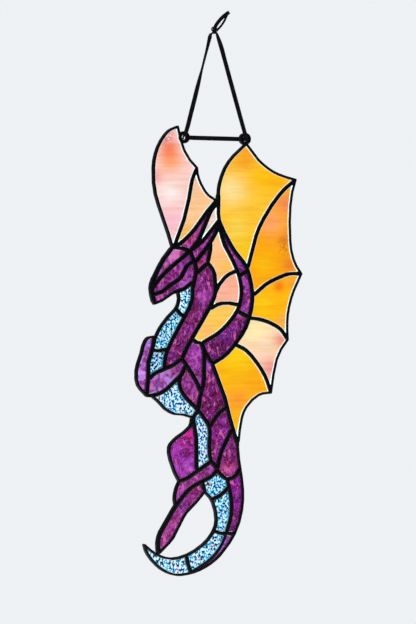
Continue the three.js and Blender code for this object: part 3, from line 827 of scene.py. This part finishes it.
def makeRippledFilm():
    # plum patches in the pane's own colour, broken violet veins, and small rose glints
    material, nodes, links, shader = newMaterial("rippledFilm", Roughness=0.12, **film)
    deep = multiply(nodes, links, readWash(nodes), colour(rippledLook["plum"]))
    base = mixColour(nodes, links, addMottle(nodes, **rippledLook["patches"]), readWash(nodes), deep)
    vein = nodes.new("ShaderNodeValToRGB")
    ramp = vein.color_ramp
    before, middle, after = rippledLook["veinEdges"]
    ramp.elements[0].position, ramp.elements[1].position = before, after
    ramp.elements[1].color = (0, 0, 0, 1)
    ramp.elements.new(middle).color = (1, 1, 1, 1)
    broken = nodes.new("ShaderNodeMath")
    broken.operation = "MULTIPLY"
    joinAll(links, [(addMottle(nodes, **rippledLook["veins"]), vein.inputs["Fac"]),
                    (vein.outputs["Color"], broken.inputs[0]),
                    (addMottle(nodes, **rippledLook["breaks"]), broken.inputs[1])])
    base = mixColour(nodes, links, broken.outputs[0], base, colour(rippledLook["violet"]))
    glints = addMottle(nodes, **rippledLook["glints"])
    base = mixColour(nodes, links, glints, base, colour(rippledLook["rose"]))
    finishFilmWithPaintedGlow(nodes, links, shader, base)
    return material


hammeredLook = {
    "dabs": {"scale": 800, "low": 0.3, "high": 0.68, "detail": 0, "stretch": (1, 1, 0.8), "distortion": 0.5},
    "stops": [(0.24, "001440"), (0.34, "0070b4"), (0.42, "00b8f0"), (0.58, "18d4ff"), (0.66, "fcffff")],
    "dots": [("e08850", {"scale": 420, "low": 0.7, "high": 0.74, "detail": 1, "offset": (2, 9, 4)}),
             ("d848c8", {"scale": 460, "low": 0.7, "high": 0.74, "detail": 1, "offset": (8, 3, 6)})],
}


def makeHammeredFilm():
    # dabs about a millimetre and a half wide, from navy over cyan to white, with rare warm and rose dots
    material, nodes, links, shader = newMaterial("hammeredFilm", Roughness=0.1, **film)
    ramp = nodes.new("ShaderNodeValToRGB")
    elements = ramp.color_ramp.elements
    while len(elements) < len(hammeredLook["stops"]):
        elements.new(0.5)
    for element, (position, code) in zip(elements, hammeredLook["stops"]):
        element.position = position
        element.color = colour(code)
    links.new(addMottle(nodes, **hammeredLook["dabs"]), ramp.inputs["Fac"])
    base = multiply(nodes, links, ramp.outputs["Color"], readWash(nodes))
    for code, dots in hammeredLook["dots"]:
        base = mixColour(nodes, links, addMottle(nodes, **dots), base, colour(code))
    finishFilmWithPaintedGlow(nodes, links, shader, base)
    return material


makeFilm = {"wing": makeWingFilm, "rippled": makeRippledFilm, "hammered": makeHammeredFilm}
paneMaterials = {
    name: [makeClearFront(name + "Front", *kind["front"]), makeFilm[name](),
           makeCutEdge(name + "CutEdgePaintedGlow", *kind["cutEdgePaintedGlow"])]
    for name, kind in glassKinds.items()
}
paneFaces = 0
for order, name in enumerate(paneColours):
    pane = makePane(name, order, paneMaterials)
    paneFaces += len(pane.data.polygons)
print(f"panes have {paneFaces} faces in all")


# Floor and light
studio = {
    "floor": -0.62, "reach": 2.1, "innermost": 0.02, "rings": 24, "sides": 96, "paper": ("e6e8ec", "f0f1f3"),
    "paleRoom": (0.86, 0.88, 0.91, 1), "dimRoom": (0.05, 0.053, 0.06, 1),
    "windows": [("leftWindow", (-1.8, -0.6, 0.3), (0, 0, -0.2), (1.4, 1.6), 6),
                ("rightWindow", (1.6, 1.3, 0.3), (0, 0, -0.2), (1.0, 1.4), 4)],
    "overheadAngle": 1.4, "overheadPower": 2.6,
}


def makeFloor():
    # a level disc of rings, whose radius grows in even steps from the innermost share of the reach to all
    turn = np.linspace(0, 2 * np.pi, studio["sides"], endpoint=False)
    radius = np.linspace(studio["innermost"], 1, studio["rings"]) * studio["reach"]
    x, y = radius[:, None] * np.cos(turn), radius[:, None] * np.sin(turn)
    points = np.stack([x, y, np.full_like(x, studio["floor"])], -1).reshape(-1, 3)
    i, j = np.meshgrid(np.arange(len(radius) - 1), np.arange(len(turn)), indexing="ij")
    k = (j + 1) % len(turn)
    inner, outer = i * len(turn), (i + 1) * len(turn)
    quads = np.stack([inner + j, outer + j, outer + k, inner + k], -1).reshape(-1, 4)
    material, nodes, links, shader = newMaterial("palePaper", Roughness=0.9, Specular_IOR_Level=0.05)
    shade = addMottle(nodes, 6, 0.3, 0.7, detail=4)
    dark, pale = studio["paper"]
    links.new(mixColour(nodes, links, shade, colour(dark), colour(pale)), shader.inputs["Base Color"])
    floor = addMesh("paperFloor", points, quads.tolist() + [list(range(len(turn)))], materials=[material])


def addLight(name, at, towards, size, power):
    data = bpy.data.lights.new(name, "AREA")
    data.shape = "RECTANGLE"
    data.size, data.size_y = size
    data.energy = power
    light = bpy.data.objects.new(name, data)
    light.location = at
    light.rotation_euler = (Vector(towards) - Vector(at)).to_track_quat("-Z", "Y").to_euler()
    bpy.context.collection.objects.link(light)


def addOverhead():
    # wide soft light from straight above, the same all over the floor
    data = bpy.data.lights.new("overhead", "SUN")
    data.angle = studio["overheadAngle"]
    data.energy = studio["overheadPower"]
    bpy.context.collection.objects.link(bpy.data.objects.new("overhead", data))


def makeRoom():
    # an even pale room, seen directly and through the glass, that lights and reflects only dimly:
    # pale = (camera ray or transmission ray) and no reflection on the way
    world = bpy.data.worlds.new("studio")
    bpy.context.scene.world = world
    world.use_nodes = True
    nodes = world.node_tree.nodes
    dim, pale = nodes["Background"], nodes.new("ShaderNodeBackground")
    dim.inputs["Color"].default_value = studio["dimRoom"]
    pale.inputs["Color"].default_value = studio["paleRoom"]
    rays, mix = nodes.new("ShaderNodeLightPath"), nodes.new("ShaderNodeMixShader")
    either, direct, both = (nodes.new("ShaderNodeMath") for _ in range(3))
    either.operation, direct.operation, both.operation = "MAXIMUM", "LESS_THAN", "MULTIPLY"
    direct.inputs[1].default_value = 0.5
    joinAll(world.node_tree.links, [
        (rays.outputs["Is Camera Ray"], either.inputs[0]),
        (rays.outputs["Is Transmission Ray"], either.inputs[1]),
        (rays.outputs["Glossy Depth"], direct.inputs[0]),
        (either.outputs[0], both.inputs[0]), (direct.outputs[0], both.inputs[1]),
        (both.outputs[0], mix.inputs[0]), (dim.outputs[0], mix.inputs[1]), (pale.outputs[0], mix.inputs[2]),
        (mix.outputs[0], nodes["World Output"].inputs["Surface"]),
    ])


makeFloor()
makeRoom()
for window in studio["windows"]:
    addLight(*window)
addOverhead()

print("studio is lit")
